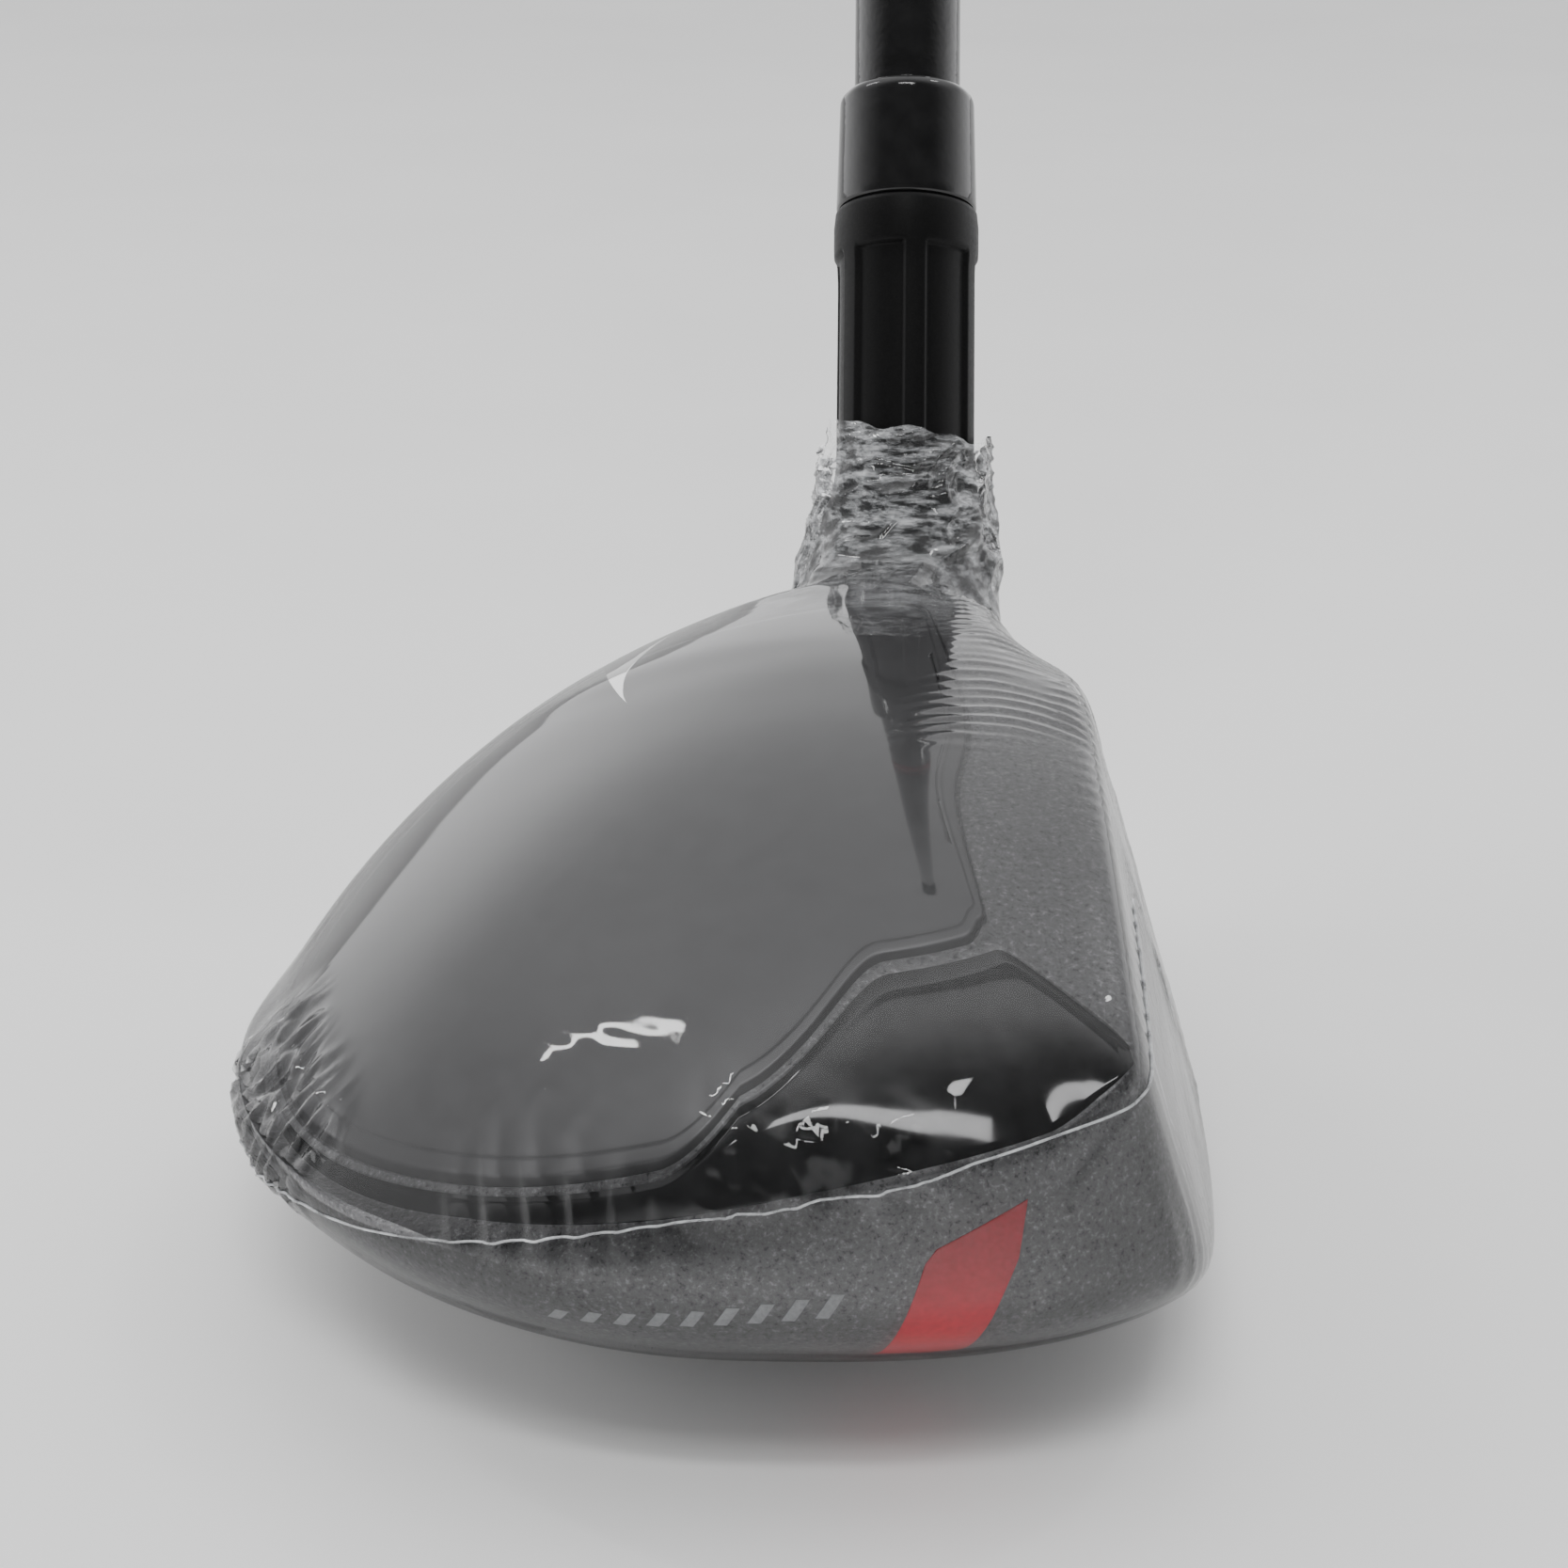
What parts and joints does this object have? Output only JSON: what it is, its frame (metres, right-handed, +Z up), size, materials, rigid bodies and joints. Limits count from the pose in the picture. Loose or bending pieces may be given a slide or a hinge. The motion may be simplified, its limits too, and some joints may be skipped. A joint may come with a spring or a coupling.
{
  "type": "hybrid golf club",
  "caption": "Right-handed hybrid golf club with a hollow grey steel head in clear shrink film, fluted hosel, black graphite shaft and rubber grip.",
  "frame": {"origin": "the point of the sole that rests on the ground", "axes": "+X towards the target, the way the face looks; +Y from the toe to the heel; +Z up, with the sole flat on the ground and the shaft leaning 60 degrees towards +Y"},
  "size_m": [0.0718, 0.5984, 0.8858],
  "materials": {
    "satin_grey_steel": "bead-blasted and clear-coated, satin",
    "face_steel": "milled, fine horizontal grain",
    "crown_grey": "satin charcoal",
    "black_chrome": "gloss black",
    "red_accent": "satin red",
    "pale_marks": "pale grey fill",
    "sole_steel": "satin",
    "slot_elastomer": "matt",
    "weight_alloy": "dull, tungsten-loaded",
    "hot_melt": "cloudy amber",
    "ferrule_plastic": "gloss black",
    "epoxy": "cured adhesive",
    "shaft_black": "gloss black over carbon fibre",
    "plug_brass": "turned",
    "band_red": "painted ring",
    "tape": "double-sided tape",
    "grip_rubber": "matt, textured",
    "cap_rubber": "matt",
    "shrink_film": "clear thin film, crinkled"
  },
  "bodies": {
    "root": {"head_body": "satin_grey_steel", "face_plate": "face_steel", "crown_panel": "crown_grey", "toe_trim": "black_chrome", "accent_inlay": "red_accent", "toe_marks": "pale_marks", "sole_plate": "sole_steel", "slot_filler": "slot_elastomer", "inner_weight": "weight_alloy", "hot_melt": "hot_melt", "ferrule": "ferrule_plastic", "epoxy_bond": "epoxy", "shaft": "shaft_black", "tip_plug": "plug_brass", "shaft_bands": "band_red", "grip_tape": "tape", "grip": "grip_rubber", "grip_cap": "cap_rubber", "film_wrap": "shrink_film", "film_seam": "shrink_film"}
  },
  "joints": []
}
